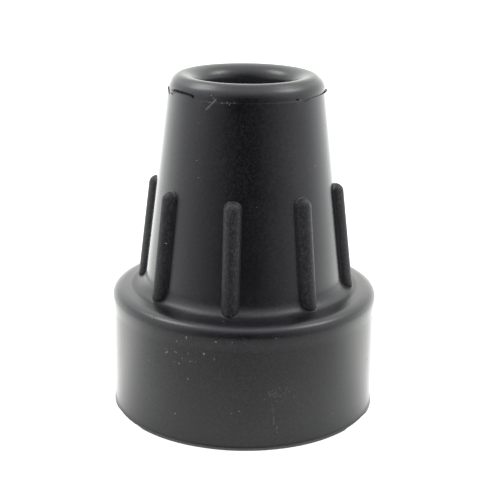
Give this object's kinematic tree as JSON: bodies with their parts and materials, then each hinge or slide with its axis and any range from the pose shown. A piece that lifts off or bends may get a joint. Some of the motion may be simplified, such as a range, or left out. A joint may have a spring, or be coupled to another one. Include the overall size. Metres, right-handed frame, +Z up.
{
  "type": "rubber cane tip",
  "caption": "Moulded rubber tip for a walking cane: drum base, tapered sleeve with rounded ribs, blind socket open at the top, ring grooves in the tread underneath.",
  "frame": {"origin": "centre of the ground face, on the axis of the socket", "axes": "+Z up along the axis of the socket, out of its mouth; -Y is the side seen in front, and one rib lies 8 degrees to the left of it"},
  "size_m": [0.0482, 0.0482, 0.0611],
  "materials": {
    "rubber": "satin black moulded rubber"
  },
  "bodies": {
    "root": {"cane_tip": "rubber"}
  },
  "joints": []
}
